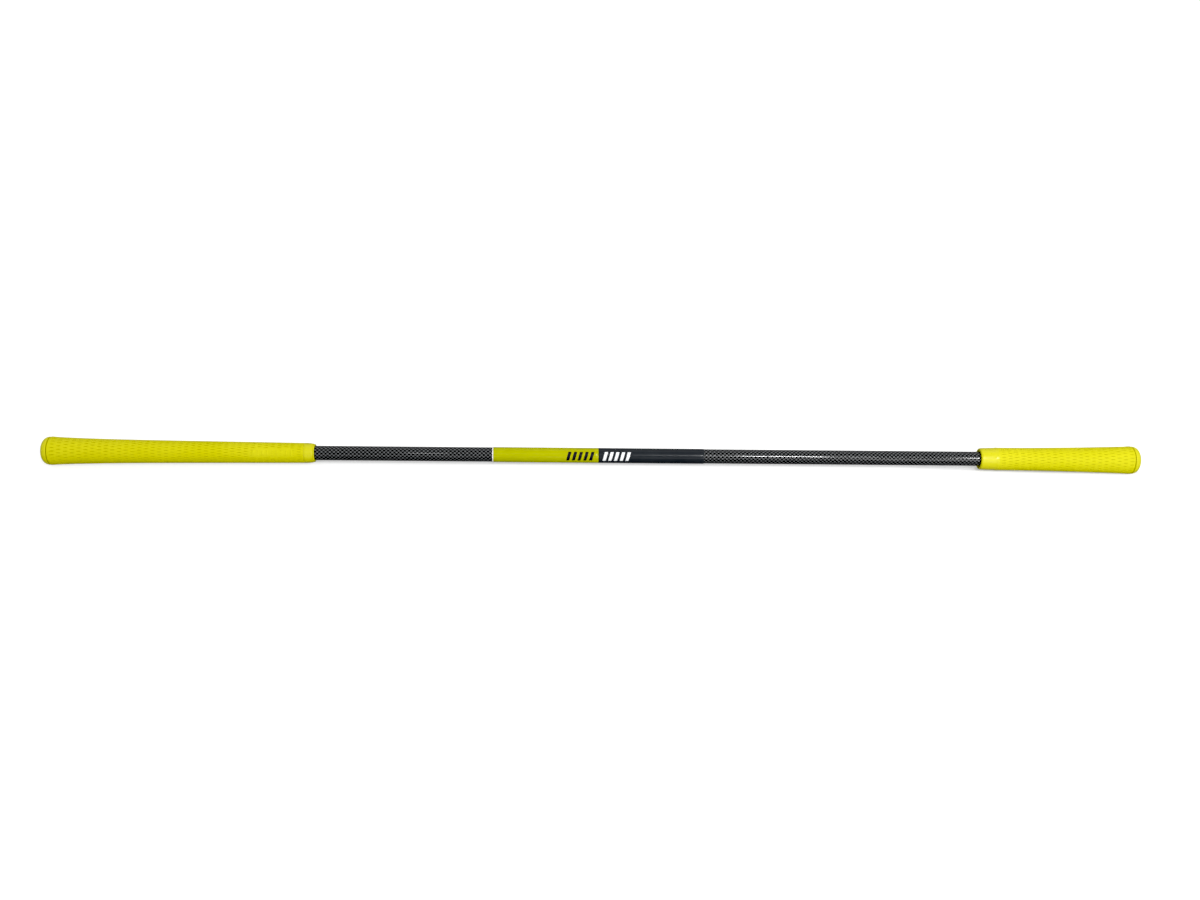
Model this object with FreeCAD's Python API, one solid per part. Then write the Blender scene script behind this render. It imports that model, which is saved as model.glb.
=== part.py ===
"""Swing trainer stick: a straight woven-carbon tube with a long rubber grip on one end,
a short rubber grip on the other end and a two-colour label band round its middle.

Frame: millimetres. +X runs along the stick from the long grip to the short grip, +Z is up.
The origin is on the stick's axis, half way between the two end caps.
"""

import FreeCAD, Part

import math
import os

from FreeCAD import Vector

# ---- whole stick ----
stick_length = 1096.4
long_grip_length = 268.0
short_grip_length = 164.6

# ---- shaft tube ----
tube_length = 1076.0
tube_outer_dia = 14.3
tube_inner_dia = 11.9
tube_edge_chamfer = 0.2
bond_gap = 0.02

# ---- grip tape ----
tape_thickness = 0.2
tape_end_setback = 3.0

# ---- end caps (both ends are alike) ----
cap_dia = 27.6
cap_seam_depth = 8.8
cap_dome_radius = 26.0
cap_shoulder_radius = 6.3
cap_seam_round = 0.5
cap_neck_dia = 19.0
cap_neck_length = 5.0
vent_dia = 3.0

# ---- long grip sleeve: outside diameter at distances from the stick's end ----
long_taper = [(11.5, 27.6), (36.0, 25.5), (76.0, 23.55), (134.0, 22.0), (194.0, 21.0), (254.5, 19.8)]
long_groove_from_mouth = 11.0
long_groove_width = 0.9
long_groove_depth = 0.45
long_collar_dia = 19.6
long_mouth_dia = 18.8
long_lip_dia = 18.2
lip_width = 2.0
lip_step = 0.35
lip_round = 0.8

# ---- short grip sleeve: outside diameter at distances from the mouth ----
short_mouth_dia = 21.8
short_mouth_round = 1.2
short_collar_dia = 22.3
short_collar_length = 15.2
short_ridge_dia = 23.0
short_ridge_width = 5.4
short_taper = [(20.6, 22.65), (43.5, 22.85), (64.0, 23.2), (105.0, 24.8), (130.0, 26.2), (154.5, 27.6)]
mouth_bore_chamfer = 0.5

# ---- label bands ----
label_half_length = 105.5
label_edge_width = 1.0
label_film = 0.28
edge_film = 0.24
film_seam_deg = 4.0
film_seam_angle = 225.0

# ---- generic slanted marks on the label ----
mark_angle = 35.0
mark_count = 5
mark_height = 8.6
mark_width = 3.1
mark_pitch = 5.7
mark_slant = 2.4
mark_film = 0.12
mark_gap_from_middle = 4.0

# ---- swing weight and plugs inside the tube ----
plug_length = 20.0
plug_groove_count = 3
plug_groove_pitch = 5.0
plug_groove_depth = 0.5
plug_groove_width = 2.0
weight_length = 80.0
weight_clearance = 0.05
weight_chamfer = 0.6
stop_length = 15.0
stop_round = 0.8

# ---- worked out from the above ----
stick_end = stick_length / 2
tube_end = tube_length / 2
tube_r = tube_outer_dia / 2
bore_r = tube_inner_dia / 2
tape_r = tube_r + bond_gap + tape_thickness
sleeve_bore_r = tape_r + bond_gap
long_mouth_x = -(stick_end - long_grip_length)
short_mouth_x = stick_end - short_grip_length
seam_x = stick_end - cap_seam_depth
cap_r = cap_dia / 2
neck_r = cap_neck_dia / 2
# how far in from a corner a rounding's middle lies, for each mm of its radius
bulge = 1 - math.sqrt(0.5)


def point(x, r):
    """A point of a half section, x along the stick and r out from its axis."""
    return Vector(x, 0, r)


def line(a, b):
    return Part.LineSegment(point(*a), point(*b)).toShape()


def arc(a, middle, b):
    return Part.Arc(point(*a), point(*middle), point(*b)).toShape()


def smooth(points):
    """One smooth curve through the given (x, r) points."""
    curve = Part.BSplineCurve()
    curve.interpolate([point(x, r) for x, r in points])
    return curve.toShape()


def path(points):
    """Straight edges through the given (x, r) points."""
    return [line(a, b) for a, b in zip(points, points[1:])]


def turned(edges, start_deg=0.0, sweep_deg=360.0):
    """The half section's edges, in order, turned about the stick's axis.
    The angle is 0 at -Y and grows towards +Z."""
    face = Part.Face(Part.Wire(edges))
    face.rotate(Vector(0, 0, 0), Vector(1, 0, 0), 90.0 - start_deg)
    if sweep_deg >= 360.0:
        return face.revolve(Vector(0, 0, 0), Vector(1, 0, 0), 360.0)
    return face.revolve(Vector(0, 0, 0), Vector(-1, 0, 0), sweep_deg)


def turned_loop(points, **sweep):
    """A closed straight-edged half section, turned."""
    return turned(path(points + points[:1]), **sweep)


def mirrored(shape):
    """The same piece at the stick's other end."""
    return shape.mirror(Vector(0, 0, 0), Vector(1, 0, 0))


def shaft_tube():
    c = tube_edge_chamfer
    return turned_loop([
        (-tube_end, bore_r), (-tube_end, tube_r - c), (-tube_end + c, tube_r),
        (tube_end - c, tube_r), (tube_end, tube_r - c), (tube_end, bore_r),
    ])


def grip_tape(x_start, x_end):
    inner = tube_r + bond_gap
    return turned_loop([(x_start, inner), (x_start, tape_r), (x_end, tape_r), (x_end, inner)])


def long_grip_tape():
    return grip_tape(-tube_end + tape_end_setback, long_mouth_x - tape_end_setback)


def short_grip_tape():
    return grip_tape(short_mouth_x + tape_end_setback, tube_end - tape_end_setback)


def short_grip_cap():
    """A domed disc with a rounded shoulder, a vent hole and a neck that seats the tube's end."""
    vent_r = vent_dia / 2
    shoulder_r = cap_r - cap_shoulder_radius
    centres_apart = cap_dome_radius - cap_shoulder_radius
    shoulder_x = stick_end - cap_dome_radius + math.sqrt(centres_apart ** 2 - shoulder_r ** 2)

    def on_dome(r):
        return (stick_end - cap_dome_radius + math.sqrt(cap_dome_radius ** 2 - r ** 2), r)

    def on_shoulder(angle):
        x = shoulder_x + cap_shoulder_radius * math.cos(angle)
        return (x, shoulder_r + cap_shoulder_radius * math.sin(angle))

    tangent = math.asin(shoulder_r / centres_apart)
    vent_edge = on_dome(vent_r)
    dome_edge = on_shoulder(tangent)
    side = on_shoulder(math.pi / 2)
    # the seam edge is rounded over, down to the seam's bottom
    seam_round_start = (seam_x + cap_seam_round, cap_r)
    seam_bottom = (seam_x, cap_r - cap_seam_round)
    k = cap_seam_round * bulge
    seam_middle = (seam_x + k, cap_r - k)
    neck_end = seam_x - cap_neck_length
    edges = [
        arc(vent_edge, on_dome(dome_edge[1] / 2), dome_edge),
        arc(dome_edge, on_shoulder((tangent + math.pi / 2) / 2), side),
        line(side, seam_round_start),
        arc(seam_round_start, seam_middle, seam_bottom),
    ]
    edges += path([
        seam_bottom, (seam_x, neck_r), (neck_end, neck_r), (neck_end, sleeve_bore_r),
        (tube_end, sleeve_bore_r), (tube_end, vent_r), vent_edge,
    ])
    return turned(edges)


def long_grip_cap():
    return mirrored(short_grip_cap())


def sleeve_back(direction):
    """Corners of a sleeve's cap end, from its bore out to its rounded seam edge.
    direction is +1 at the +X end and -1 at the -X end."""
    end = direction * (seam_x - bond_gap)
    seat = direction * (seam_x - cap_neck_length - bond_gap)
    seat_r = neck_r + bond_gap
    return [(seat, sleeve_bore_r), (seat, seat_r), (end, seat_r), (end, cap_r - cap_seam_round)]


def seam_rounding(direction):
    """The sleeve's rounded edge at the seam, from the seam's bottom up to the outside."""
    end = direction * (seam_x - bond_gap)
    k = cap_seam_round * bulge
    a = (end, cap_r - cap_seam_round)
    middle = (end - direction * k, cap_r - k)
    b = (end - direction * cap_seam_round, cap_r)
    return arc(a, middle, b), b


def long_grip_sleeve():
    """Tapers from the cap to a ring groove, a collar and a small lip at the mouth."""
    rounding, side = seam_rounding(-1)
    taper = [(-stick_end + s, d / 2) for s, d in long_taper]
    groove_x = long_mouth_x - long_groove_from_mouth
    groove_floor = long_collar_dia / 2 - long_groove_depth
    half = long_groove_width / 2
    lip_x = long_mouth_x - lip_width
    lip_r = long_lip_dia / 2
    k = lip_round * bulge
    back = sleeve_back(-1)
    edges = path(back)
    edges += [rounding, line(side, taper[0]), smooth(taper)]
    edges += path([
        taper[-1], (groove_x - half, taper[-1][1]), (groove_x - half, groove_floor),
        (groove_x + half, groove_floor), (groove_x + half, long_collar_dia / 2),
        (lip_x, long_mouth_dia / 2), (lip_x, lip_r - lip_step), (lip_x + lip_step, lip_r),
        (long_mouth_x - lip_round, lip_r),
    ])
    lip_start = (long_mouth_x - lip_round, lip_r)
    lip_end = (long_mouth_x, lip_r - lip_round)
    edges += [arc(lip_start, (long_mouth_x - k, lip_r - k), lip_end)]
    edges += path([
        lip_end, (long_mouth_x, sleeve_bore_r + lip_step),
        (long_mouth_x - lip_step, sleeve_bore_r), back[0],
    ])
    return turned(edges)


def short_grip_sleeve():
    """Starts with a smooth collar and a small ridge, then widens to the cap."""
    rounding, side = seam_rounding(1)
    taper = [(short_mouth_x + t, d / 2) for t, d in short_taper]
    mouth_r = short_mouth_dia / 2
    k = short_mouth_round * bulge
    collar_x = short_mouth_x + short_collar_length
    ridge_x = collar_x + short_ridge_width / 2
    ridge_end = (collar_x + short_ridge_width, taper[0][1])
    collar_r = short_collar_dia / 2
    back = sleeve_back(1)
    edges = path(back)
    edges += [rounding, line(side, taper[-1]), smooth(taper[::-1])]
    edges += [arc(taper[0], (ridge_x, short_ridge_dia / 2), (collar_x, collar_r))]
    edges += [line((collar_x, collar_r), (short_mouth_x + short_mouth_round, mouth_r))]
    round_start = (short_mouth_x + short_mouth_round, mouth_r)
    round_end = (short_mouth_x, mouth_r - short_mouth_round)
    edges += [arc(round_start, (short_mouth_x + k, mouth_r - k), round_end)]
    edges += path([
        round_end, (short_mouth_x, sleeve_bore_r + mouth_bore_chamfer),
        (short_mouth_x + mouth_bore_chamfer, sleeve_bore_r), back[0],
    ])
    return turned(edges)


def label_band(x_start, x_end, film):
    """A film wrapped round the tube, with a narrow gap where its two ends meet."""
    inner = tube_r + bond_gap
    outer = inner + film
    start = film_seam_angle + film_seam_deg / 2
    return turned_loop(
        [(x_start, inner), (x_start, outer), (x_end, outer), (x_end, inner)],
        start_deg=start, sweep_deg=360.0 - film_seam_deg,
    )


def label_white_edge():
    return label_band(-label_half_length, -label_half_length + label_edge_width, edge_film)


def label_yellow_band():
    return label_band(-label_half_length + label_edge_width, 0.0, label_film)


def label_black_band():
    return label_band(0.0, label_half_length, label_film)


def slanted_bar(x_middle):
    """One slanted bar of thin film that follows the label band's curve."""
    inner = tube_r + bond_gap + label_film
    outer = inner + mark_film
    reach = mark_width + mark_slant
    low = x_middle - reach
    high = x_middle + reach
    ring = turned_loop([(low, inner), (low, outer), (high, outer), (high, inner)])
    half_w = mark_width / 2
    half_h = mark_height / 2
    lean = mark_slant / 2
    corners = [
        Vector(x_middle - half_w - lean, 0, -half_h), Vector(x_middle + half_w - lean, 0, -half_h),
        Vector(x_middle + half_w + lean, 0, half_h), Vector(x_middle - half_w + lean, 0, half_h),
    ]
    outline = Part.Face(Part.makePolygon(corners + corners[:1]))
    cutter = outline.extrude(Vector(0, -2 * outer, 0))
    cutter.rotate(Vector(0, 0, 0), Vector(1, 0, 0), -mark_angle)
    return ring.common(cutter).Solids[0]


def marks(direction):
    """A row of slanted bars on one side of the label's middle."""
    first = mark_gap_from_middle + (mark_width + mark_slant) / 2
    places = [first + i * mark_pitch for i in range(mark_count)]
    return Part.makeCompound([slanted_bar(direction * place) for place in places])


def label_dark_marks():
    return marks(-1)


def label_light_marks():
    return marks(1)


def end_plug():
    """A plastic plug with shallow grooves between its ribs, for the tube's +X end."""
    r = bore_r - bond_gap
    outline = [(tube_end - plug_length, 0.0), (tube_end - plug_length, r)]
    first = tube_end - plug_length + plug_groove_pitch - plug_groove_width / 2
    for i in range(plug_groove_count):
        x = first + i * plug_groove_pitch
        groove_end = x + plug_groove_width
        floor = r - plug_groove_depth
        outline += [(x, r), (x, floor), (groove_end, floor), (groove_end, r)]
    outline += [(tube_end, r), (tube_end, 0.0)]
    return turned_loop(outline)


def long_end_plug():
    return mirrored(end_plug())


def swing_weight():
    """A steel slug held between the end plug and the stop."""
    end = tube_end - plug_length - bond_gap
    start = end - weight_length
    r = bore_r - weight_clearance
    c = weight_chamfer
    return turned_loop([
        (start, 0.0), (start, r - c), (start + c, r), (end - c, r), (end, r - c), (end, 0.0),
    ])


def weight_stop():
    """A rubber stop bonded in the tube at the weight's inner end."""
    end = tube_end - plug_length - weight_length - 2 * bond_gap
    start = end - stop_length
    r = bore_r - bond_gap
    k = stop_round * bulge
    edges = path([(start, 0.0), (start, r - stop_round)])
    edges += [arc((start, r - stop_round), (start + k, r - k), (start + stop_round, r))]
    edges += path([(start + stop_round, r), (end, r), (end, 0.0), (start, 0.0)])
    return turned(edges)


nodes = {
    "shaft_tube": shaft_tube,
    "long_grip_sleeve": long_grip_sleeve,
    "long_grip_cap": long_grip_cap,
    "long_grip_tape": long_grip_tape,
    "long_end_plug": long_end_plug,
    "short_grip_sleeve": short_grip_sleeve,
    "short_grip_cap": short_grip_cap,
    "short_grip_tape": short_grip_tape,
    "short_end_plug": end_plug,
    "swing_weight": swing_weight,
    "weight_stop": weight_stop,
    "label_white_edge": label_white_edge,
    "label_yellow_band": label_yellow_band,
    "label_black_band": label_black_band,
    "label_dark_marks": label_dark_marks,
    "label_light_marks": label_light_marks,
}

os.makedirs("parts", exist_ok=True)
for name, make in nodes.items():
    make().exportStep(f"parts/{name}.step")
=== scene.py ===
"""Looks for the swing trainer stick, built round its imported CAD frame.

The stick lies on a pale floor along X, with the long grip on the -X end. Lengths named *_mm are in
millimetres and are turned to metres where they are used. Angles round the stick are in degrees, 0 at
-Y and growing towards +Z.
"""

import math

import bpy
import bmesh
import numpy as np
from mathutils import Matrix, Vector


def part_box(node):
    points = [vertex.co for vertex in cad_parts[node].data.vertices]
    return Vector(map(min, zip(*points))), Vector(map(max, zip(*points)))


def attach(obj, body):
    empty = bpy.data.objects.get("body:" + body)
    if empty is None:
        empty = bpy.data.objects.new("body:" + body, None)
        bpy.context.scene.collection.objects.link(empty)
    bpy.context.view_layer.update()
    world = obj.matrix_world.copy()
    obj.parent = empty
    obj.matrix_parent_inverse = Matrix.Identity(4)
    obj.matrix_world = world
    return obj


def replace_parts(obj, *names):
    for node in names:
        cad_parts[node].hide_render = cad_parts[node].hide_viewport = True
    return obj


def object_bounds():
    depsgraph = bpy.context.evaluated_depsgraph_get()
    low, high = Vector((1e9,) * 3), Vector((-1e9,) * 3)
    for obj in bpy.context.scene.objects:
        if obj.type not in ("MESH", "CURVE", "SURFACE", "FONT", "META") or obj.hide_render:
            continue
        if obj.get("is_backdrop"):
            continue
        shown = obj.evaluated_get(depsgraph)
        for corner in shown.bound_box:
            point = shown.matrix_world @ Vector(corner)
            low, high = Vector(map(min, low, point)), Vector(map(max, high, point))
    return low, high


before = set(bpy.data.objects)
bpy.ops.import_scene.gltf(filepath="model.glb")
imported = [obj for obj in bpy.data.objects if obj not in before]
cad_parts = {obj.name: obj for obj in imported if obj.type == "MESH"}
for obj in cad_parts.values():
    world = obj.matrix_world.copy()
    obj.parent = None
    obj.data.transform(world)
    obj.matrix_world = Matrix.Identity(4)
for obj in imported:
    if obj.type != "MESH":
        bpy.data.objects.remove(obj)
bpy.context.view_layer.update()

MM = 0.001


# ---------------------------------------------------------------- sizes taken from the frame
def ends(node):
    """(lowest x, highest x, largest radius) of a CAD node, in metres."""
    low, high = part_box(node)
    return low.x, high.x, max(high.y, high.z)


tube_x0, tube_x1, tube_r = ends("shaft_tube")
_, long_x1, _ = ends("long_grip_sleeve")
short_x0, _, _ = ends("short_grip_sleeve")
_, stick_end, cap_r = ends("short_grip_cap")
yellow_x0, yellow_x1, film_r = ends("label_yellow_band")
black_x0, black_x1, _ = ends("label_black_band")
edge_x0, edge_x1, edge_r = ends("label_white_edge")
plug_x0, plug_x1, plug_r = ends("short_end_plug")
weight_x0, weight_x1, weight_r = ends("swing_weight")
stop_x0, stop_x1, stop_r = ends("weight_stop")
long_tape_x0, long_tape_x1, tape_r = ends("long_grip_tape")
short_tape_x0, short_tape_x1, _ = ends("short_grip_tape")
long_length_mm = (long_x1 + stick_end) / MM
short_length_mm = (stick_end - short_x0) / MM

# ---------------------------------------------------------------- sizes that only the looks need
bond_gap_mm = 0.02
tube_bore_mm = 5.95
sleeve_bore_r = tape_r + bond_gap_mm * MM
neck_r_mm = 9.5
neck_length_mm = 5.0
seam_mm = 8.8
seam_round_mm = 0.4
seam_round_steps = 4
seam_slot_mm = 0.26
seam_depth_mm = 0.95
seam_shade = 1.7
seam_bead_mm = 0.16
seam_bead_at_mm = 2.4
seam_bead_reach_mm = 2.2
bead_share_at_seam = 0.4
seam_shade_rows = 4
vent_r_mm = 1.5
dome_radius_mm = 26.0
shoulder_radius_mm = 6.3

dashes_per_ring = 24
dash_half_length_mm = 2.3
dash_half_angle = 1.95
dash_floor_share = 0.74
dash_corner_power = 4
dash_row_shares = (-1.04, -0.93, -0.76, 0.0, 0.76, 0.93, 1.04)
dash_depth_mm = 0.45
ring_pitch_mm = 6.45
dash_phase = 41.5
long_first_ring_mm = 14.1
long_ring_count = 38
short_first_ring_mm = 12.7
short_ring_count = 21
short_ring_twist = -4.8

panel_start_mm = 206.0
panel_end_mm = 247.5
panel_half_angle = 26.0
panel_bar_count = 9
panel_bar_half_width_mm = 0.8
panel_bar_top_share = 0.6
panel_bar_half_angle = 15.0
panel_bar_height_mm = 0.3

film_seam_angle = 225.0
film_seam_gap = 4.0
mark_angle = 35.0


def smoothstep(low, high, value):
    t = np.clip((value - low) / (high - low), 0.0, 1.0)
    return t * t * (3.0 - 2.0 * t)


def arc_points(centre_x, centre_r, radius, start_deg, end_deg, steps):
    """Points of an arc in the half section; 0 degrees points along +X and 90 outward."""
    angles = [math.radians(start_deg + (end_deg - start_deg) * i / steps) for i in range(steps + 1)]
    return [(centre_x + radius * math.cos(a), centre_r + radius * math.sin(a)) for a in angles]


def spread(start, end, step):
    """Even places from start to end, both included, no further apart than step."""
    count = max(1, math.ceil(abs(end - start) / step))
    return [start + (end - start) * i / count for i in range(count + 1)]


# ---------------------------------------------------------------- mesh helpers
def finish_mesh(name, verts, faces, material, slot, sharp_deg=35.0, attributes=None):
    """Makes one riding, closed, smooth-shaded piece out of points and faces."""
    mesh = bpy.data.meshes.new(name)
    mesh.from_pydata(verts, [], faces)
    for label, values in (attributes or {}).items():
        layer = mesh.attributes.new(label, "FLOAT", "POINT")
        layer.data.foreach_set("value", values)
    bm = bmesh.new()
    bm.from_mesh(mesh)
    bmesh.ops.remove_doubles(bm, verts=bm.verts, dist=1e-7)
    bmesh.ops.recalc_face_normals(bm, faces=bm.faces)
    bm.to_mesh(mesh)
    bm.free()
    for polygon in mesh.polygons:
        polygon.use_smooth = True
    mesh.set_sharp_from_angle(angle=math.radians(sharp_deg))
    mesh.materials.append(material)
    piece = bpy.data.objects.new(name, mesh)
    bpy.context.scene.collection.objects.link(piece)
    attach(piece, "root")
    return piece


def on_stick(x, r, angle_deg):
    """The points at x along the stick, r out from its axis and at an angle round it."""
    a = np.radians(angle_deg)
    return np.stack([x, -r * np.cos(a), r * np.sin(a)], axis=-1)


def skin(name, x, r, angles, closed, material, slot, **options):
    """A closed skin over a grid of x and r, one row per outline point and one column per angle.
    The rows form a closed loop. An open skin, with closed False, gets a flat end at each side."""
    rows, columns = r.shape
    verts = on_stick(x, r, np.broadcast_to(angles, r.shape)).reshape(-1, 3)
    faces = []
    last = columns if closed else columns - 1
    for i in range(rows):
        a, b = i * columns, ((i + 1) % rows) * columns
        for j in range(last):
            k = (j + 1) % columns
            faces.append((a + j, a + k, b + k, b + j))
    if not closed:
        faces.append([i * columns for i in range(rows)])
        faces.append([i * columns + columns - 1 for i in reversed(range(rows))])
    return finish_mesh(name, verts.tolist(), faces, material, slot, **options)


def turned(name, outline, material, slot, columns=96, start=0.0, sweep=360.0, **options):
    """The closed outline of (x, r) points, in metres, turned about the stick's axis."""
    closed = sweep >= 360.0
    angles = np.array([start + sweep * i / columns for i in range(columns if closed else columns + 1)])
    x = np.repeat(np.array([[p[0]] for p in outline]), len(angles), axis=1)
    r = np.repeat(np.array([[p[1]] for p in outline]), len(angles), axis=1)
    return skin(name, x, r, angles, closed, material, slot, **options)


# ---------------------------------------------------------------- node helpers
class Shader:
    """A short way to write a procedural material."""

    def __init__(self, name):
        self.material = bpy.data.materials.new(name)
        self.material.use_nodes = True
        self.tree = self.material.node_tree
        self.tree.nodes.clear()
        self.out = self.tree.nodes.new("ShaderNodeOutputMaterial")
        self.bsdf = self.tree.nodes.new("ShaderNodeBsdfPrincipled")
        self.link(self.bsdf.outputs[0], self.out.inputs["Surface"])
        self.place = self.tree.nodes.new("ShaderNodeTexCoord").outputs["Object"]

    def link(self, source, target):
        self.tree.links.new(source, target)

    def feed(self, socket, value):
        """Connects an output, or sets a number or colour, on an input socket."""
        if isinstance(value, bpy.types.NodeSocket):
            self.link(value, socket)
        elif isinstance(value, tuple) and len(value) == 3 and socket.type == "RGBA":
            socket.default_value = (*value, 1.0)
        else:
            socket.default_value = value

    def set(self, **inputs):
        """Sets the Principled inputs; Base_Color means Base Color."""
        for key, value in inputs.items():
            self.feed(self.bsdf.inputs[key.replace("_", " ")], value)

    def math(self, operation, *values, clamp=False):
        node = self.tree.nodes.new("ShaderNodeMath")
        node.operation = operation
        node.use_clamp = clamp
        for socket, value in zip(node.inputs, values):
            self.feed(socket, value)
        return node.outputs[0]

    def parts(self, vector):
        node = self.tree.nodes.new("ShaderNodeSeparateXYZ")
        self.link(vector, node.inputs[0])
        return node.outputs

    def join(self, x, y, z):
        node = self.tree.nodes.new("ShaderNodeCombineXYZ")
        for socket, value in zip(node.inputs, (x, y, z)):
            self.feed(socket, value)
        return node.outputs[0]

    def noise(self, scale, detail=2.0, where=None, roughness=0.5):
        node = self.tree.nodes.new("ShaderNodeTexNoise")
        self.link(where or self.place, node.inputs["Vector"])
        node.inputs["Scale"].default_value = scale
        node.inputs["Detail"].default_value = detail
        node.inputs["Roughness"].default_value = roughness
        return node.outputs[0]

    def rescale(self, value, low, high, new_low, new_high):
        node = self.tree.nodes.new("ShaderNodeMapRange")
        for socket, v in zip(node.inputs, (value, low, high, new_low, new_high)):
            self.feed(socket, v)
        return node.outputs[0]

    def blend(self, share, a, b):
        """Colour a where share is 0 and b where it is 1."""
        node = self.tree.nodes.new("ShaderNodeMix")
        node.data_type = "RGBA"
        self.feed(node.inputs[0], share)
        self.feed(node.inputs[6], a)
        self.feed(node.inputs[7], b)
        return node.outputs[2]

    def attribute(self, name):
        node = self.tree.nodes.new("ShaderNodeAttribute")
        node.attribute_name = name
        return node.outputs["Fac"]

    def bump(self, height, distance_mm, strength=1.0, normal=None):
        node = self.tree.nodes.new("ShaderNodeBump")
        node.inputs["Strength"].default_value = strength
        node.inputs["Distance"].default_value = distance_mm * MM
        self.link(height, node.inputs["Height"])
        if normal is not None:
            self.link(normal, node.inputs["Normal"])
        return node.outputs[0]

    def turn(self):
        """How far round the stick a point is, from 0 to 1."""
        _, y, z = self.parts(self.place)
        turns = self.math("DIVIDE", self.math("ARCTAN2", z, y), 2.0 * math.pi)
        return self.math("ADD", turns, 0.5)


# ---------------------------------------------------------------- materials
def grip_rubber():
    """Bright yellow moulded rubber. Dash floors and seam slots carry painted shade, a darker colour
    standing in for the shade in those recesses; collars and caps are smoother.
    """
    s = Shader("grip_rubber")
    # the dash attribute is painted shade: it marks the dash floors and seam slots to be darkened
    painted_recess_shade = s.attribute("dash")
    polished = s.attribute("polish")
    drift = s.noise(14.0, 3.0)
    mottle = s.noise(420.0, 2.0)
    grain = s.math("MULTIPLY", s.noise(2600.0, 2.0), s.rescale(polished, 0.0, 1.0, 1.0, 0.2))
    yellow = s.rescale(drift, 0.35, 0.65, 0.0, 1.0)
    yellow = s.blend(yellow, (0.59, 0.56, 0.015), (0.63, 0.595, 0.021))
    yellow = s.blend(s.rescale(mottle, 0.3, 0.7, 0.0, 0.12), yellow, (0.50, 0.47, 0.012))
    # painted shade: dash floors and seam slots are blended towards a dark olive
    colour = s.blend(s.math("MULTIPLY", painted_recess_shade, 0.55), yellow, (0.33, 0.28, 0.0))
    rough = s.rescale(polished, 0.0, 1.0, 0.56, 0.30)
    rough = s.math("ADD", rough, s.rescale(mottle, 0.3, 0.7, -0.03, 0.03))
    s.set(Base_Color=colour, Roughness=rough)
    s.set(Normal=s.bump(grain, 0.03, 0.35), IOR=1.5, Specular_Tint=(1.0, 1.0, 0.75))
    s.feed(s.bsdf.inputs["Specular IOR Level"], s.rescale(polished, 0.0, 1.0, 0.14, 0.36))
    return s.material


def carbon():
    """Plain-weave carbon cloth under a clear gloss coat, with a painted sheen on the lengthwise cells
    and painted shade at the cell edges.
    """
    s = Shader("woven_carbon")
    tow_mm = 2.05
    tows_round = 24
    x, _, _ = s.parts(s.place)
    along = s.math("DIVIDE", x, tow_mm * MM)
    round_it = s.math("MULTIPLY", s.turn(), float(tows_round))
    cell_u = s.math("FLOOR", along)
    cell_v = s.math("FLOOR", round_it)
    hoop = s.math("MODULO", s.math("ADD", s.math("ADD", cell_u, cell_v), 2000.0), 2.0)
    u = s.math("SUBTRACT", s.math("FRACT", s.math("ADD", along, 1000.0)), 0.5)
    v = s.math("SUBTRACT", s.math("FRACT", round_it), 0.5)

    def crown(t, power):
        """1 at the middle of a cell and 0 at its edge."""
        edge = s.math("POWER", s.math("MULTIPLY", s.math("ABSOLUTE", t), 2.0), power)
        return s.math("SUBTRACT", 1.0, edge)

    def pick(a, b):
        """a in lengthwise cells and b in hoop cells."""
        lengthwise = s.math("SUBTRACT", 1.0, hoop)
        return s.math("ADD", s.math("MULTIPLY", a, lengthwise), s.math("MULTIPLY", b, hoop))

    def strands(along_scale, round_scale):
        """Fine streaks drawn out along the fibres."""
        lengthways = s.math("MULTIPLY", along, along_scale)
        return s.noise(1.0, 2.0, s.join(lengthways, s.math("MULTIPLY", round_it, round_scale), 0.0))

    height = pick(
        s.math("MULTIPLY", crown(u, 2.0), crown(v, 6.0)),
        s.math("MULTIPLY", crown(v, 2.0), crown(u, 6.0)),
    )
    fibres = pick(strands(0.5, 14.0), strands(14.0, 0.5))
    # painted sheen: lengthwise cells get a grey base colour standing in for the sheen of their fibres,
    # while hoop cells stay near black
    grey = pick(0.083, 0.0003)
    shade = s.math("MULTIPLY", grey, s.rescale(fibres, 0.3, 0.7, 0.7, 1.3))
    # painted shade: each cell darkens towards its edges, where the tows dip under one another
    shade = s.math("MULTIPLY", shade, s.rescale(height, 0.0, 0.8, 0.25, 1.0))
    tone = s.join(shade, s.math("MULTIPLY", shade, 1.05), s.math("MULTIPLY", shade, 1.1))
    s.set(Base_Color=tone, Metallic=0.0, Roughness=0.42, IOR=1.6)
    s.set(Coat_Weight=1.0, Coat_Roughness=0.05, Coat_IOR=1.33)
    s.feed(s.bsdf.inputs["Specular IOR Level"], pick(0.35, 0.0))
    weave = s.bump(height, 0.12, 0.8)
    s.set(Normal=s.bump(fibres, 0.02, 0.5, weave))
    return s.material


def label_film(name, colour, colour_2):
    """Glossy printed film pulled round the tube, with faint lengthwise tension lines."""
    s = Shader(name)
    x, _, _ = s.parts(s.place)
    lines_at = s.join(s.math("MULTIPLY", x, 14.0), s.math("MULTIPLY", s.turn(), 60.0), 0.0)
    lines = s.noise(1.0, 3.0, lines_at)
    blotch = s.noise(60.0, 2.0)
    s.set(Base_Color=s.blend(s.rescale(blotch, 0.3, 0.7, 0.0, 1.0), colour, colour_2))
    s.set(Roughness=s.rescale(lines, 0.3, 0.7, 0.16, 0.28), IOR=1.3)
    s.set(Normal=s.bump(lines, 0.05, 0.6))
    return s.material


def print_ink(name, colour, colour_2):
    """Printed marks on the label: a satin ink with a little mottle."""
    s = Shader(name)
    mottle = s.noise(900.0, 2.0)
    s.set(Base_Color=s.blend(mottle, colour, colour_2), IOR=1.25)
    s.set(Roughness=s.rescale(mottle, 0.3, 0.7, 0.32, 0.42), Normal=s.bump(mottle, 0.01, 0.3))
    return s.material


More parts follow.
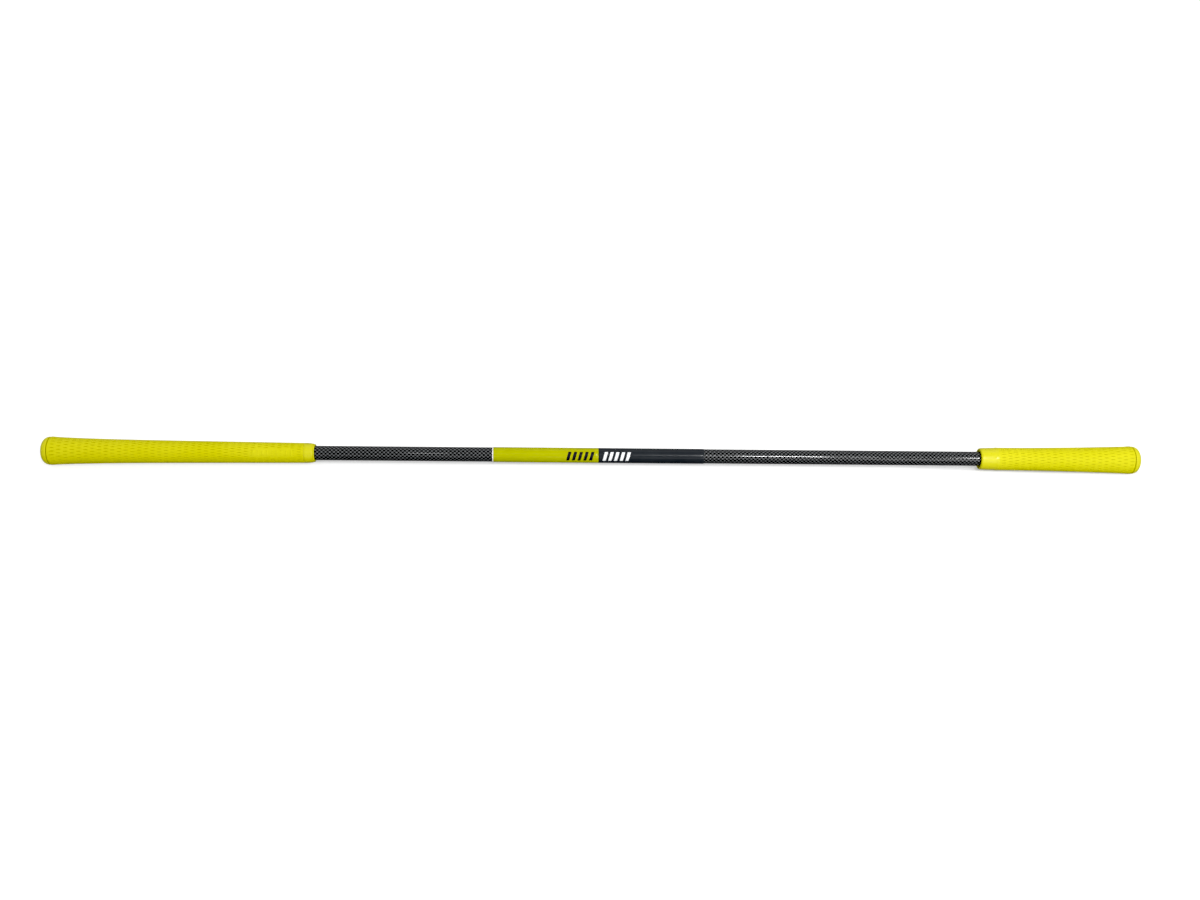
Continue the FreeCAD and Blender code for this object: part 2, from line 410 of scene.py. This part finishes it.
def turned_steel():
    s = Shader("turned_steel")
    x, _, _ = s.parts(s.place)
    rings = s.noise(1.0, 2.0, s.join(s.math("MULTIPLY", x, 4000.0), 0.0, 0.0))
    smear = s.noise(120.0, 3.0)
    s.set(Base_Color=s.blend(smear, (0.50, 0.50, 0.51), (0.62, 0.61, 0.60)), Metallic=1.0)
    s.set(Roughness=s.rescale(rings, 0.3, 0.7, 0.28, 0.42), Normal=s.bump(rings, 0.01, 0.4))
    return s.material


def moulded_plastic():
    s = Shader("black_plastic")
    grain = s.noise(1800.0, 2.0)
    cloud = s.noise(90.0, 2.0)
    s.set(Base_Color=s.blend(cloud, (0.022, 0.022, 0.024), (0.035, 0.035, 0.037)))
    s.set(Roughness=s.rescale(grain, 0.3, 0.7, 0.48, 0.62), Normal=s.bump(grain, 0.02, 0.4))
    return s.material


def stop_rubber():
    s = Shader("stop_rubber")
    pores = s.noise(1500.0, 3.0)
    s.set(Base_Color=s.blend(pores, (0.012, 0.012, 0.012), (0.03, 0.029, 0.028)))
    s.set(Roughness=0.85, Normal=s.bump(pores, 0.05, 0.6))
    return s.material


def grip_tape():
    """Crepe paper tape with fine cross wrinkles."""
    s = Shader("grip_tape")
    x, _, _ = s.parts(s.place)
    wrinkle_at = s.join(s.math("MULTIPLY", x, 2200.0), s.math("MULTIPLY", s.turn(), 25.0), 0.0)
    wrinkles = s.noise(1.0, 3.0, wrinkle_at)
    stain = s.noise(70.0, 3.0)
    s.set(Base_Color=s.blend(stain, (0.70, 0.62, 0.44), (0.80, 0.73, 0.56)))
    s.set(Roughness=0.8, Normal=s.bump(wrinkles, 0.06, 0.7))
    return s.material


# ---------------------------------------------------------------- grips
def long_grip_radius(s):
    """Outside radius in mm at s mm from the stick's end: a straight taper with a flared butt."""
    width, narrowing_per_mm = 24.3, 0.0177
    flare, flare_start, flare_reach = 3.5, 11.0, 38.0
    return (width - narrowing_per_mm * s + flare * np.exp(-(s - flare_start) / flare_reach)) / 2.0


def short_grip_radius(s):
    """Outside radius in mm at s mm from the stick's end, widening towards the cap."""
    width, flare, flare_start, flare_length, flare_power = 22.7, 5.05, 30.0, 125.0, 1.7
    from_mouth = short_length_mm - s
    rise = np.clip((from_mouth - flare_start) / flare_length, 0.0, None)
    return (width + flare * rise ** flare_power) / 2.0


def dash_map(s, angle, first_ring, ring_count):
    """1 on a dash's floor and 0 outside it. Each ring is turned half a dash pitch from the last."""
    half_pitch = 180.0 / dashes_per_ring
    ring = np.round((s - first_ring) / ring_pitch_mm)
    ring_offset = s - first_ring - ring * ring_pitch_mm
    turn = angle - dash_phase
    sector = np.round(turn / half_pitch)
    turn_offset = turn - sector * half_pitch
    inside = (ring >= 0) & (ring < ring_count) & ((ring + sector) % 2 == 0)
    along = np.abs(ring_offset / dash_half_length_mm) ** dash_corner_power
    across = np.abs(turn_offset / dash_half_angle) ** dash_corner_power
    reach = (along + across) ** (1.0 / dash_corner_power)
    return np.where(inside, 1.0 - smoothstep(dash_floor_share, 1.0, reach), 0.0)


def grip_columns():
    """Angles of the mesh's columns: each half dash pitch has its own wall, edge and middle columns."""
    half_pitch = 180.0 / dashes_per_ring
    wall = dash_half_angle * dash_floor_share
    offsets = [-half_pitch / 2.0, -dash_half_angle, -wall, 0.0, wall, dash_half_angle]
    sectors = [dash_phase + i * half_pitch for i in range(2 * dashes_per_ring)]
    return np.array([sector + offset for sector in sectors for offset in offsets])


def ring_rows(first_ring, ring_count):
    """Places of the mesh's rows through the dash rings, in mm from the stick's end."""
    rings = [first_ring + k * ring_pitch_mm for k in range(ring_count)]
    return [ring + share * dash_half_length_mm for ring in rings for share in dash_row_shares]


def seam_rows(first):
    """Places of the mesh's rows over the bead beside the seam, from first mm past it."""
    return [seam_mm + place for place in (first, 0.9, 1.3, 1.7, 2.1, 2.8)]


def seam_edge(s):
    """A small bead beside the cap's seam, in mm."""
    return seam_bead_mm * np.exp(-((s - seam_mm - seam_bead_at_mm) / seam_bead_reach_mm) ** 2)


def sleeve(name, direction, rows, radius, mouth, rings, twist, height, collar, material):
    """A grip sleeve, from its seam edge over its outside to the mouth and back along its bore.
    rows are places in mm from the stick's end, and rings is (the first ring's place, how many).
    height(s, angle) gives raised marks, in mm, and the share of the dashes to keep. twist turns
    the rings, and collar is where the smooth collar starts and ends."""
    angles = grip_columns() + twist
    s = np.array(rows)[:, None]
    turn = angles[None, :]
    raised, keep = height(s, turn)
    dash = dash_map(s, turn - twist, *rings) * keep
    r = radius(s) + seam_edge(s) + raised - dash_depth_mm * dash

    face = seam_mm + seam_slot_mm
    full_r = cap_r / MM + bead_share_at_seam * seam_bead_mm
    back = [(seam_mm + bond_gap_mm, full_r - seam_depth_mm)]
    back += arc_points(face + seam_round_mm, full_r - seam_round_mm, seam_round_mm, 180.0, 115.0,
                       seam_round_steps)
    seat = seam_mm + neck_length_mm + bond_gap_mm
    neck = neck_r_mm + bond_gap_mm
    bore = sleeve_bore_r / MM
    bore_step = 12.0
    inside = [(place, bore) for place in spread(mouth[-1][0], seat, bore_step)[1:]]
    inside += [(seat, neck), (seam_mm + bond_gap_mm, neck)]

    def hoops(points, axis):
        """One grid row for each outline point."""
        return np.repeat(np.array([[point[axis]] for point in points]), len(angles), axis=1)

    grid_s = np.vstack([hoops(back, 0), np.repeat(s, len(angles), axis=1), hoops(mouth + inside, 0)])
    grid_r = np.vstack([hoops(back, 1), r, hoops(mouth + inside, 1)])
    # painted shade: the dash attribute darkens the seam slot rows and the dash floors in the rubber's
    # colour
    painted_shade_grid = np.zeros_like(grid_r)
    painted_shade_grid[:seam_shade_rows] = seam_shade
    painted_shade_grid[len(back):len(back) + len(rows)] = dash
    polish = np.where((grid_s > collar[0]) & (grid_s < collar[1]), 1.0, 0.0)
    grid_x = direction * (stick_end - grid_s * MM)
    marks = {"dash": painted_shade_grid.ravel(), "polish": polish.ravel()}
    return skin(name, grid_x, grid_r * MM, angles, True, material, "yellow_rubber", attributes=marks)


def panel_height(s, angle):
    """A clear panel with a row of plain raised bars, and no dashes in it."""
    turn = np.abs((angle - dash_phase + 180.0) % 360.0 - 180.0)
    inside = (s > panel_start_mm) & (s < panel_end_mm) & (turn < panel_half_angle)
    pitch = (panel_end_mm - panel_start_mm) / panel_bar_count
    offset = np.abs((s - panel_start_mm) % pitch - pitch / 2.0)
    top = panel_bar_top_share * panel_bar_half_width_mm
    across = 1.0 - smoothstep(top, panel_bar_half_width_mm, offset)
    along = 1.0 - smoothstep(0.95 * panel_bar_half_angle, 1.05 * panel_bar_half_angle, turn)
    return np.where(inside, panel_bar_height_mm * across * along, 0.0), np.where(inside, 0.0, 1.0)


def plain_height(s, angle):
    """No raised marks, and every dash kept."""
    zero = np.zeros(np.broadcast_shapes(s.shape, angle.shape))
    return zero, zero + 1.0


def panel_rows():
    """Places of the mesh's rows through the panel's bars, in mm from the stick's end."""
    pitch = (panel_end_mm - panel_start_mm) / panel_bar_count
    middles = [panel_start_mm + (k + 0.5) * pitch for k in range(panel_bar_count)]
    shares = (-1.0, -panel_bar_top_share, panel_bar_top_share, 1.0)
    return [middle + share * panel_bar_half_width_mm for middle in middles for share in shares]


def tidy_rows(rows, gap=0.08):
    """Rows in order, without any that stand closer together than gap."""
    kept = []
    for place in sorted(rows):
        if not kept or place - kept[-1] >= gap:
            kept.append(place)
    return kept


def lip_and_ledge(end, lip_r, steps, ledge):
    """Mouth outline: a lip rolled in from lip_r to the bore, then the bore for ledge mm."""
    bore = sleeve_bore_r / MM
    lip_round = (lip_r - bore) / 2.0
    rolled = arc_points(end - lip_round, lip_r - lip_round, lip_round, 90.0, -90.0, steps)
    return rolled + [(end - ledge, bore)]


def long_grip(material):
    """Long sleeve: dash rings, a marked panel, a ring groove, a smooth collar and a rounded lip."""
    end = long_length_mm - 0.6
    groove = long_length_mm - 11.0
    groove_half, groove_wall, groove_soft, groove_depth, edge_drop = 0.2, 0.15, 0.2, 0.45, 0.1
    collar_r, collar_taper, collar_length = 9.95, 0.75, 9.0
    lip_r = 9.0
    crease = long_length_mm - 2.3
    crease_lead, crease_rise, crease_run, crease_depth, crease_rest = 0.1, 0.12, 0.5, 0.32, 0.25

    last_row = groove - groove_half - groove_wall - groove_soft
    clear_of_last = 0.25
    rows = seam_rows(0.6) + ring_rows(long_first_ring_mm, long_ring_count) + panel_rows()
    rows = [place for place in tidy_rows(rows) if place < last_row - clear_of_last] + [last_row]
    r_before = float(long_grip_radius(last_row))

    mouth = [
        (groove - groove_half - groove_wall, r_before - edge_drop),
        (groove - groove_half, collar_r - groove_depth),
        (groove + groove_half, collar_r - groove_depth),
        (groove + groove_half + groove_wall, collar_r - edge_drop),
        (groove + groove_half + groove_wall + groove_soft, collar_r),
    ]
    taper_start, taper_end, taper_step = groove + 1.5, crease - 0.3, 1.3
    for place in spread(taper_start, taper_end, taper_step):
        mouth.append((place, collar_r - collar_taper * ((place - groove) / collar_length) ** 2))
    mouth += [
        (crease - crease_lead, lip_r + crease_rise),
        (crease, lip_r - crease_depth),
        (crease + crease_run / 2.0, lip_r - crease_rest),
        (crease + crease_run, lip_r),
    ]
    mouth += lip_and_ledge(end, lip_r, steps=12, ledge=2.6)
    rings = (long_first_ring_mm, long_ring_count)
    collar = (groove, long_length_mm)
    return sleeve("long_grip_skin", -1, rows, long_grip_radius, mouth, rings, 0.0, panel_height,
                  collar, material)


def short_grip(material):
    """Short sleeve: dash rings, then a small ridge and a smooth collar with a rounded mouth."""
    end = short_length_mm - 0.5
    ridge_start = short_length_mm - 20.6
    collar_start = short_length_mm - 15.2
    ridge_length = collar_start - ridge_start
    middle = (ridge_start + collar_start) / 2.0
    collar_r, ridge_height, ridge_slope = 11.15, 0.26, 0.17
    collar_taper, collar_length = 0.45, 14.0
    lip_r = 10.75

    rows = seam_rows(0.55) + ring_rows(short_first_ring_mm, short_ring_count)
    rows = [place for place in tidy_rows(rows) if place < ridge_start]
    mouth = []
    ridge_lead, ridge_step = 0.3, 0.45
    for place in spread(ridge_start + ridge_lead, collar_start, ridge_step):
        rise = math.cos(math.pi * (place - middle) / ridge_length) ** 2
        before = (collar_start - place) / ridge_length
        mouth.append((place, collar_r + ridge_slope * before + ridge_height * rise))
    taper_start, taper_end, taper_step = collar_start + 0.8, end - 2.1, 1.2
    for place in spread(taper_start, taper_end, taper_step):
        mouth.append((place, collar_r - collar_taper * ((place - collar_start) / collar_length) ** 2))
    mouth += lip_and_ledge(end, lip_r, steps=14, ledge=4.4)
    rings = (short_first_ring_mm, short_ring_count)
    ridge_top = 2.0
    collar = (ridge_start + ridge_top, short_length_mm)
    return sleeve("short_grip_skin", 1, rows, short_grip_radius, mouth, rings, short_ring_twist,
                  plain_height, collar, material)


def cap(name, direction, material):
    """Domed end cap with a rounded shoulder, a vent hole and a neck that seats the tube's end."""
    full_r = cap_r / MM
    shoulder_r = full_r - shoulder_radius_mm
    centres_apart = dome_radius_mm - shoulder_radius_mm
    tangent = math.degrees(math.asin(shoulder_r / centres_apart))
    shoulder_s = dome_radius_mm - centres_apart * math.cos(math.radians(tangent))
    vent_edge = math.degrees(math.asin(vent_r_mm / dome_radius_mm))
    dome_step, shoulder_step, vent_step = 1.6, 4.0, 2.0
    outline = []
    for angle in spread(vent_edge, tangent, dome_step):
        a = math.radians(angle)
        outline.append((dome_radius_mm * (1.0 - math.cos(a)), dome_radius_mm * math.sin(a)))
    turns = len(spread(tangent, 90.0, shoulder_step)) - 1
    outline += arc_points(shoulder_s, shoulder_r, shoulder_radius_mm, 180.0 - tangent, 90.0, turns)[1:]
    face = seam_mm - seam_slot_mm
    outline += arc_points(face - seam_round_mm, full_r - seam_round_mm, seam_round_mm, 65.0, 0.0,
                          seam_round_steps)
    slot_start = len(outline) - 2
    outline += [(seam_mm, full_r - seam_depth_mm)]
    slot_end = len(outline)
    bore = sleeve_bore_r / MM
    tube_end_s = (stick_end - tube_x1) / MM
    neck_end = seam_mm + neck_length_mm
    bevel = 0.3
    outline += [
        (seam_mm, neck_r_mm),
        (neck_end - bevel, neck_r_mm),
        (neck_end, neck_r_mm - bevel),
        (neck_end, bore),
        (tube_end_s, bore),
        (tube_end_s, vent_r_mm),
    ]
    outline += [(p, vent_r_mm) for p in spread(tube_end_s, bevel, vent_step)[1:]]
    points = [(direction * (stick_end - s * MM), r * MM) for s, r in outline]
    columns = 192
    cap_polish = 0.6
    # painted shade: the dash attribute darkens the seam slot rows in the rubber's colour
    dark = np.zeros((len(points), columns))
    dark[slot_start:slot_end] = seam_shade
    marks = {"dash": dark.ravel(), "polish": np.full(dark.size, cap_polish)}
    return turned(name, points, material, "yellow_rubber", columns=columns, attributes=marks)


# ---------------------------------------------------------------- shaft and label
def shaft(material):
    """The woven tube: smooth outside, bevelled ends, open bore."""
    bevel = 0.2 * MM
    bore = tube_bore_mm * MM
    outer_step, inner_step = 12.0 * MM, 24.0 * MM
    outer = [(tube_x0, tube_r - bevel), (tube_x0 + bevel, tube_r)]
    outer += [(x, tube_r) for x in spread(tube_x0 + bevel, tube_x1 - bevel, outer_step)[1:]]
    outer += [(tube_x1, tube_r - bevel)]
    inner = [(x, bore) for x in spread(tube_x1, tube_x0, inner_step)]
    return turned("shaft_weave", outer + inner, material, "woven_carbon", columns=128)


def film_band(name, x0, x1, radius, material, slot):
    """A film wrapped round the tube, with rounded outer edges and a narrow gap at its seam."""
    inner = tube_r + bond_gap_mm * MM
    soft = 0.08 * MM
    corner = 0.3 * soft
    outer_step, inner_step = 4.0 * MM, 12.0 * MM
    outline = [(x0, inner), (x0, radius - soft), (x0 + corner, radius - corner), (x0 + soft, radius)]
    outline += [(x, radius) for x in spread(x0 + soft, x1 - soft, outer_step)[1:]]
    outline += [(x1 - corner, radius - corner), (x1, radius - soft), (x1, inner)]
    outline += [(x, inner) for x in spread(x1, x0, inner_step)[1:-1]]
    start = film_seam_angle + film_seam_gap / 2.0
    return turned(name, outline, material, slot, columns=120, start=start, sweep=360.0 - film_seam_gap)


def slanted_bars(name, direction, material, slot):
    """A row of plain slanted bars printed on one side of the label's middle."""
    count, pitch, width, height, slant = 5, 5.7, 3.1, 8.6, 2.4
    clear_of_middle = 4.0
    first = clear_of_middle + (width + slant) / 2.0
    thickness, sunk = 0.05, 0.03
    across, up = 4, 12
    r_in = film_r - sunk * MM
    r_out = film_r + thickness * MM
    half_angle = math.degrees(math.asin(height / 2.0 * MM / film_r))
    verts, faces = [], []
    for k in range(count):
        middle = direction * (first + k * pitch)
        base = len(verts)
        for r in (r_in, r_out):
            for j in range(up + 1):
                t = 2.0 * j / up - 1.0
                for i in range(across + 1):
                    x = middle + width * (i / across - 0.5) + slant / 2.0 * t
                    verts.append(tuple(on_stick(x * MM, r, mark_angle + half_angle * t)))
        layer = (up + 1) * (across + 1)
        row = across + 1
        for j in range(up):
            for i in range(across):
                a = base + j * row + i
                faces.append((a, a + row, a + row + 1, a + 1))
                b = a + layer
                faces.append((b, b + 1, b + row + 1, b + row))
        rim = [base + i for i in range(across)]
        rim += [base + j * row + across for j in range(up)]
        rim += [base + up * row + i for i in range(across, 0, -1)]
        rim += [base + j * row for j in range(up, 0, -1)]
        for a, b in zip(rim, rim[1:] + rim[:1]):
            faces.append((a, b, b + layer, a + layer))
    return finish_mesh(name, verts, faces, material, slot)


# ---------------------------------------------------------------- pieces inside the stick
def wound_tape(name, x0, x1, material):
    """Tape wound round the tube: each turn laps the one before it."""
    columns, row_mm, turn_mm, lap_mm = 64, 0.9, 25.0, 0.1
    angles = np.array([360.0 * i / columns for i in range(columns)])
    places = np.array(spread(x0, x1, row_mm * MM))
    phase = (places[:, None] / (turn_mm * MM) + angles[None, :] / 360.0) % 1.0
    outer = tape_r - lap_mm * MM * phase
    inner = np.full_like(outer, tube_r + bond_gap_mm * MM)
    x = np.repeat(places[:, None], columns, axis=1)
    grid_x = np.vstack([x, x[::-1]])
    return skin(name, grid_x, np.vstack([outer, inner]), angles, True, material, "grip_tape")


def end_plug(name, direction, material):
    """A ribbed plug with a shallow dished face."""
    length = plug_x1 - plug_x0
    groove_count, pitch, groove_width, groove_depth = 3, 5.0 * MM, 2.0 * MM, 0.5 * MM
    soft, rim, dish = 0.15 * MM, 1.2 * MM, 0.4 * MM
    outline = [(0.0, 0.0), (0.0, plug_r - soft), (soft, plug_r)]
    for k in range(groove_count):
        a = pitch * (k + 1) - groove_width / 2.0
        b = a + groove_width
        outline += [
            (a - soft, plug_r),
            (a, plug_r - soft),
            (a, plug_r - groove_depth),
            (b, plug_r - groove_depth),
            (b, plug_r - soft),
            (b + soft, plug_r),
        ]
    outline += [
        (length - soft, plug_r),
        (length, plug_r - soft),
        (length, plug_r - rim),
        (length - dish, plug_r - rim - dish),
        (length - dish, 0.0),
    ]
    points = [(direction * (plug_x0 + x), r) for x, r in outline]
    return turned(name, points, material, "black_plastic", columns=72)


def slug(material):
    """The swing weight: a turned slug with bevelled ends and a shallow ring at each end."""
    bevel, ring_r, ring_depth = 0.6 * MM, 3.0 * MM, 0.3 * MM
    outline = [
        (weight_x0 + ring_depth, 0.0),
        (weight_x0 + ring_depth, ring_r),
        (weight_x0, ring_r + ring_depth),
        (weight_x0, weight_r - bevel),
        (weight_x0 + bevel, weight_r),
    ]
    outline += [(x, weight_r) for x in spread(weight_x0 + bevel, weight_x1 - bevel, 8.0 * MM)[1:]]
    outline += [
        (weight_x1, weight_r - bevel),
        (weight_x1, ring_r + ring_depth),
        (weight_x1 - ring_depth, ring_r),
        (weight_x1 - ring_depth, 0.0),
    ]
    return turned("swing_weight_slug", outline, material, "steel", columns=96)


def stop(material):
    """The rubber stop, domed on its free side."""
    rise, bevel = 0.8 * MM, 0.2 * MM
    steps = 8
    outline = []
    for i in range(steps + 1):
        a = math.radians(90.0 * i / steps)
        outline.append((stop_x0 + rise * (1.0 - math.cos(a)), stop_r * math.sin(a)))
    outline += [(stop_x1 - bevel, stop_r), (stop_x1, stop_r - bevel), (stop_x1, 0.0)]
    return turned("weight_stop_rubber", outline, material, "black_rubber", columns=72)


# ---------------------------------------------------------------- build the object
rubber = grip_rubber()
plastic = moulded_plastic()
tape = grip_tape()

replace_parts(long_grip(rubber), "long_grip_sleeve")
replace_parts(short_grip(rubber), "short_grip_sleeve")
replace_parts(cap("long_grip_end", -1, rubber), "long_grip_cap")
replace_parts(cap("short_grip_end", 1, rubber), "short_grip_cap")
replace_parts(shaft(carbon()), "shaft_tube")

yellow_film = label_film("yellow_film", (0.385, 0.395, 0.004), (0.41, 0.42, 0.006))
black_film = label_film("black_film", (0.020, 0.023, 0.027), (0.024, 0.027, 0.031))
white_film = label_film("white_film", (0.78, 0.75, 0.74), (0.84, 0.82, 0.81))
yellow_band = film_band("label_yellow", yellow_x0, yellow_x1, film_r, yellow_film, "yellow_film")
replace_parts(yellow_band, "label_yellow_band")
black_band = film_band("label_black", black_x0, black_x1, film_r, black_film, "black_film")
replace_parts(black_band, "label_black_band")
white_edge = film_band("label_edge", edge_x0, edge_x1, edge_r, white_film, "white_film")
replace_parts(white_edge, "label_white_edge")
dark_ink = print_ink("dark_ink", (0.011, 0.011, 0.014), (0.016, 0.016, 0.019))
light_ink = print_ink("light_ink", (0.78, 0.80, 0.82), (0.86, 0.87, 0.88))
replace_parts(slanted_bars("marks_dark", -1, dark_ink, "black_print"), "label_dark_marks")
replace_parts(slanted_bars("marks_light", 1, light_ink, "white_print"), "label_light_marks")

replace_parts(wound_tape("long_tape", long_tape_x0, long_tape_x1, tape), "long_grip_tape")
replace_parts(wound_tape("short_tape", short_tape_x0, short_tape_x1, tape), "short_grip_tape")
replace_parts(end_plug("long_plug", -1, plastic), "long_end_plug")
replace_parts(end_plug("short_plug", 1, plastic), "short_end_plug")
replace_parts(slug(turned_steel()), "swing_weight")
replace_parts(stop(stop_rubber()), "weight_stop")


# ---------------------------------------------------------------- floor, light and camera
def pale_floor():
    """A white floor at the stick's lowest point. The camera sees it lifted to white by a glow, and a
    tight contact shadow is painted into that glow from nearby occlusion and from the place under the
    stick; as a light for the stick it is a mid grey."""
    s = Shader("pale_floor")
    path = s.tree.nodes.new("ShaderNodeLightPath")
    seen = path.outputs["Is Camera Ray"]
    speck = s.noise(300.0, 2.0)
    grey = s.blend(seen, (0.22, 0.22, 0.22), s.blend(speck, (0.50, 0.50, 0.50), (0.52, 0.52, 0.52)))
    s.set(Base_Color=grey, Roughness=0.9)
    s.feed(s.bsdf.inputs["Specular IOR Level"], 0.0)
    nearby = s.tree.nodes.new("ShaderNodeAmbientOcclusion")
    nearby.samples = 16
    nearby.inputs["Distance"].default_value = 8.0 * MM
    clear_above = s.rescale(nearby.outputs["AO"], 0.88, 0.98, 0.0, 1.0)
    x, y, _ = s.parts(s.place)
    # painted shadow: the glow is cut behind a line under the stick, drawn by position and moved forward
    # towards +X
    shift_from, shift_to, widest_shift = 0.30, 0.46, 6.0 * MM
    shadow_shift = s.rescale(x, shift_from, shift_to, 0.0, widest_shift)
    behind, ahead = 2.6 * MM, -2.0 * MM
    in_front = s.rescale(s.math("ADD", y, shadow_shift), behind, ahead, 0.0, 1.0)
    lift_in_shadow, lift_in_clear = 0.34, 0.66
    clear = s.math("MAXIMUM", clear_above, in_front)
    lift = s.rescale(clear, 0.0, 1.0, lift_in_shadow, lift_in_clear)
    s.set(Emission_Color=(1.0, 1.0, 1.0), Emission_Strength=s.math("MULTIPLY", seen, lift))
    mesh = bpy.data.meshes.new("floor")
    half = 6.0
    floor_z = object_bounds()[0].z
    corners = [(-half, -half), (half, -half), (half, half), (-half, half)]
    mesh.from_pydata([(x_at, y_at, floor_z) for x_at, y_at in corners], [], [(0, 1, 2, 3)])
    mesh.materials.append(s.material)
    floor = bpy.data.objects.new("floor", mesh)
    bpy.context.scene.collection.objects.link(floor)
    floor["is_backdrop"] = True


def surroundings():
    """A white background for the camera, and for everything else a dome whose brightness depends on how
    far it is turned about the stick: 0 at the front's horizon, 90 overhead, 180 at the back's."""
    world = bpy.data.worlds.new("studio")
    bpy.context.scene.world = world
    world.use_nodes = True
    tree = world.node_tree
    tree.nodes.clear()
    add = tree.nodes.new
    link = tree.links.new
    place = add("ShaderNodeTexCoord")
    parts = add("ShaderNodeSeparateXYZ")
    link(place.outputs["Generated"], parts.inputs[0])
    forward = add("ShaderNodeMath")
    forward.operation = "MULTIPLY"
    forward.inputs[1].default_value = -1.0
    link(parts.outputs[1], forward.inputs[0])
    turn = add("ShaderNodeMath")
    turn.operation = "ARCTAN2"
    link(parts.outputs[2], turn.inputs[0])
    link(forward.outputs[0], turn.inputs[1])
    lowest, highest = -20.0, 200.0
    share = add("ShaderNodeMapRange")
    share.inputs["From Min"].default_value = math.radians(lowest)
    share.inputs["From Max"].default_value = math.radians(highest)
    link(turn.outputs[0], share.inputs["Value"])
    ramp = add("ShaderNodeValToRGB")
    link(share.outputs[0], ramp.inputs[0])
    stops = [
        (-20.0, 1.0), (20.0, 1.0), (30.0, 0.06), (45.0, 0.06), (55.0, 0.68), (70.0, 0.66),
        (80.0, 0.38), (105.0, 0.40), (115.0, 0.75), (135.0, 0.75), (146.0, 0.27), (168.0, 0.27),
        (188.0, 0.8),
    ]
    elements = ramp.color_ramp.elements
    while len(elements) < len(stops):
        elements.new(0.5)
    for element, (degrees, value) in zip(elements, stops):
        element.position = (degrees - lowest) / (highest - lowest)
        element.color = (value, value, value, 1.0)
    brightest = 1.52
    dome = add("ShaderNodeMath")
    dome.operation = "MULTIPLY"
    dome.inputs[1].default_value = brightest
    link(ramp.outputs[0], dome.inputs[0])
    path = add("ShaderNodeLightPath")
    pick = add("ShaderNodeMix")
    pick.data_type = "FLOAT"
    link(path.outputs["Is Camera Ray"], pick.inputs[0])
    link(dome.outputs[0], pick.inputs[2])
    pick.inputs[3].default_value = 1.0
    background = add("ShaderNodeBackground")
    background.inputs["Color"].default_value = (1.0, 1.0, 1.0, 1.0)
    link(pick.outputs[0], background.inputs["Strength"])
    out = add("ShaderNodeOutputWorld")
    link(background.outputs[0], out.inputs["Surface"])


def softbox(name, place, target, width, height, watts, colour=(1.0, 1.0, 1.0)):
    """A rectangular lamp that faces target; its width lies along X."""
    data = bpy.data.lights.new(name, "AREA")
    data.shape = "RECTANGLE"
    data.size = width
    data.size_y = height
    data.energy = watts
    data.color = colour
    lamp = bpy.data.objects.new(name, data)
    lamp.location = place
    lamp.rotation_euler = (Vector(target) - Vector(place)).to_track_quat("-Z", "Y").to_euler()
    bpy.context.scene.collection.objects.link(lamp)
    return lamp


def lamp_place(x, distance, elevation_deg):
    """A place at a distance from the stick's axis, at an elevation on the camera's side."""
    e = math.radians(elevation_deg)
    return (x, -distance * math.cos(e), distance * math.sin(e))


def lights():
    near = 1.5
    softbox("key_right", lamp_place(0.46, near, 51.0), (0.2, 0, 0), 0.19, 0.16, 8.7)
    softbox("key_right_glow", lamp_place(0.46, near, 51.0), (0.2, 0, 0), 0.42, 0.16, 2.4)
    softbox("key_far_right", lamp_place(0.905, near, 51.0), (0.3, 0, 0), 0.075, 0.14, 2.5)
    softbox("key_left", lamp_place(-0.34, near, 51.0), (-0.2, 0, 0), 0.09, 0.2, 0.5)
    softbox("thin_strip", lamp_place(0.1, near, 50.0), (0, 0, 0), 2.8, 0.06, 0.4, (0.55, 0.85, 1.0))
    softbox("right_wall", lamp_place(1.1, 1.6, 24.0), (0.35, 0, 0), 0.9, 0.9, 5.4)


def camera():
    """Looks down at the stick from the front. The lens spans the stick with a small margin."""
    elevation, azimuth, roll = 43.0, -2.46, 2.19
    distance = 1.2
    e, a = math.radians(elevation), math.radians(azimuth)
    back = Vector((math.sin(a) * math.cos(e), -math.cos(a) * math.cos(e), math.sin(e)))
    data = bpy.data.cameras.new("camera")
    data.lens = 36.0
    data.sensor_width = 36.0
    eye = bpy.data.objects.new("camera", data)
    bpy.context.scene.collection.objects.link(eye)
    facing = (-back).to_track_quat("-Z", "Y").to_matrix().to_4x4()
    right, up = facing.col[0].xyz, facing.col[1].xyz
    aim = right * 0.0015 + up * 0.0055
    place = Matrix.Translation(aim + back * distance)
    eye.matrix_world = place @ facing @ Matrix.Rotation(math.radians(roll), 4, "Z")
    bpy.context.scene.camera = eye


pale_floor()
surroundings()
lights()
camera()
bpy.context.scene.cycles.denoising_prefilter = "NONE"        # the default choice blurs the weave away
view = bpy.context.scene.view_settings
view.view_transform = "Standard"
view.use_curve_mapping = True
view.curve_mapping.black_level = (0.021, 0.021, 0.021)
view.curve_mapping.update()
